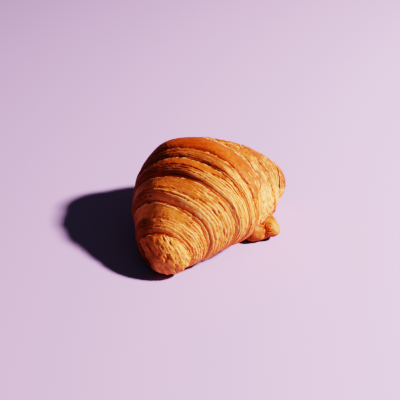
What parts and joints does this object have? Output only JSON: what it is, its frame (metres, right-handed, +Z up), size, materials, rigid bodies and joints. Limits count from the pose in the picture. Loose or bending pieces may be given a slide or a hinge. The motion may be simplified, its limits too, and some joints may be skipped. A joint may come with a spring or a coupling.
{
  "type": "croissant",
  "caption": "Plump curled croissant with stepped wraps of flaky dough, a last wrap that ends in a blunt tongue over the top, and one horn's tip tucked under",
  "frame": {"origin": "centre of the base, on the surface that the croissant rests on", "axes": "+Z up, X along the roll from the large rounded horn (-X) to the far shoulder (+X), -Y towards the inside of the curl"},
  "size_m": [0.1146, 0.0828, 0.06],
  "materials": {
    "crust": "baked crust with a light egg wash sheen"
  },
  "bodies": {
    "root": {"croissant": "crust"}
  },
  "joints": []
}
